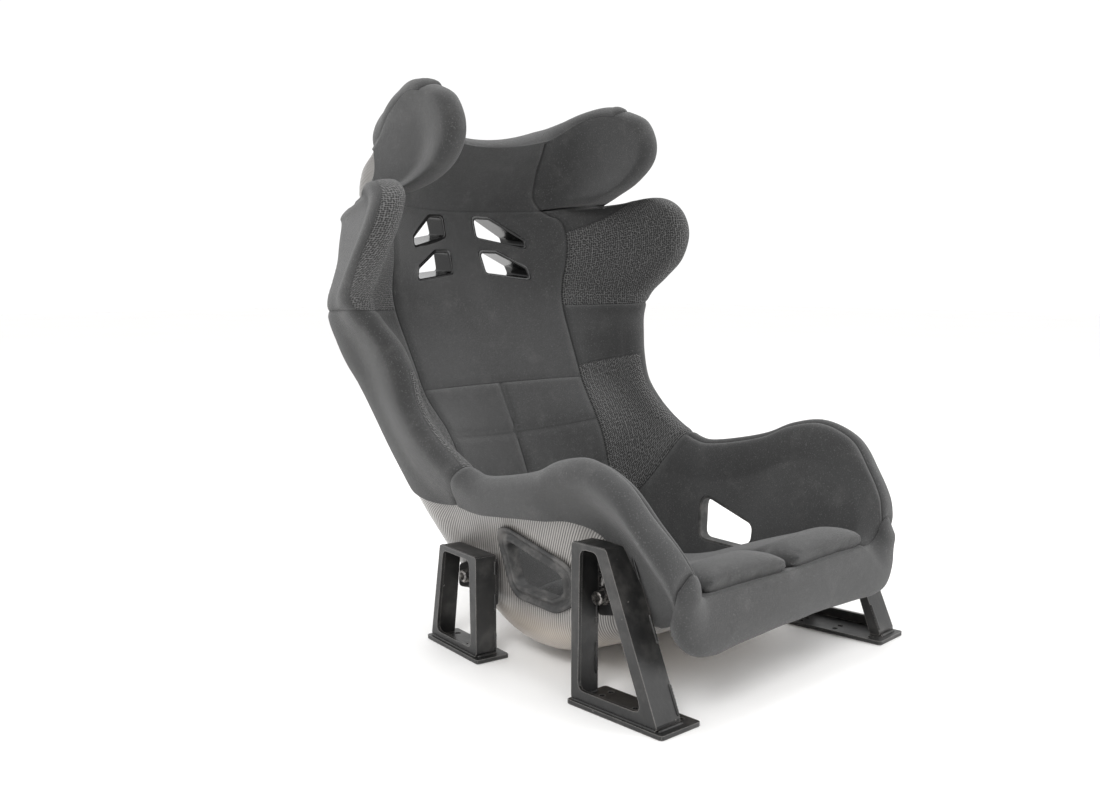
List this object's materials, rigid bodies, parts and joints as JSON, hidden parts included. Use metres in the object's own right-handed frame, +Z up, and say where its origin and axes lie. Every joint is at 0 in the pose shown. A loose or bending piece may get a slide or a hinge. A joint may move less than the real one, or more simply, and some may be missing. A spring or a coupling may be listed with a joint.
{
  "type": "racing seat",
  "caption": "Fixed-back bucket seat: composite shell with padded covers, head side wings, belt slots, lift-out seat cushions and welded steel side feet.",
  "frame": {"origin": "middle of the seat's bounding box, on the floor under the base plates", "axes": "+Z up; -Y the way the sitter faces; +X towards the sitter's left side"},
  "size_m": [0.6894, 0.7384, 0.8163],
  "materials": {
    "velour": "dusty grey velour and knit mesh over foam",
    "composite": "woven fibre laminate under clear resin",
    "rubber": "satin black moulding",
    "liner": "gloss black",
    "painted_steel": "satin black paint, chipped at the edges",
    "bare_steel": "blackened steel"
  },
  "bodies": {
    "seat": {"shell": "composite", "thigh_bolster_pad_left": "velour", "waist_bolster_pad_left": "velour", "shoulder_wing_pad_left": "velour", "head_wing_pad_left": "velour", "lap_belt_trim_left": "rubber", "harness_slot_upper_left": "liner", "harness_slot_lower_left": "liner", "foot_box_front_left": "painted_steel", "foot_mount_plate_front_left": "painted_steel", "foot_base_front_left": "painted_steel", "mount_screw_front_left": "bare_steel", "mount_washer_front_left": "bare_steel", "shell_insert_front_left": "bare_steel", "foot_box_rear_left": "painted_steel", "foot_mount_plate_rear_left": "painted_steel", "foot_base_rear_left": "painted_steel", "mount_screw_rear_left": "bare_steel", "mount_washer_rear_left": "bare_steel", "shell_insert_rear_left": "bare_steel", "thigh_bolster_pad_right": "velour", "waist_bolster_pad_right": "velour", "shoulder_wing_pad_right": "velour", "head_wing_pad_right": "velour", "lap_belt_trim_right": "rubber", "harness_slot_upper_right": "liner", "harness_slot_lower_right": "liner", "foot_box_front_right": "painted_steel", "foot_mount_plate_front_right": "painted_steel", "foot_base_front_right": "painted_steel", "mount_screw_front_right": "bare_steel", "mount_washer_front_right": "bare_steel", "shell_insert_front_right": "bare_steel", "foot_box_rear_right": "painted_steel", "foot_mount_plate_rear_right": "painted_steel", "foot_base_rear_right": "painted_steel", "mount_screw_rear_right": "bare_steel", "mount_washer_rear_right": "bare_steel", "shell_insert_rear_right": "bare_steel", "seat_base_pad": "velour", "lumbar_pad": "velour", "back_panel_pad": "velour", "head_pad": "velour", "head_top_roll": "velour", "front_edge_roll": "velour"},
    "cushion_left": {"seat_cushion_left": "velour"},
    "cushion_right": {"seat_cushion_right": "velour"}
  },
  "joints": [
    {"name": "cushion_lift_left", "type": "slide", "parent": "seat", "child": "cushion_left", "axis": [0, 0, 1], "range_m": [0, 0.06]},
    {"name": "cushion_lift_right", "type": "slide", "parent": "seat", "child": "cushion_right", "axis": [0, 0, 1], "range_m": [0, 0.06]}
  ]
}
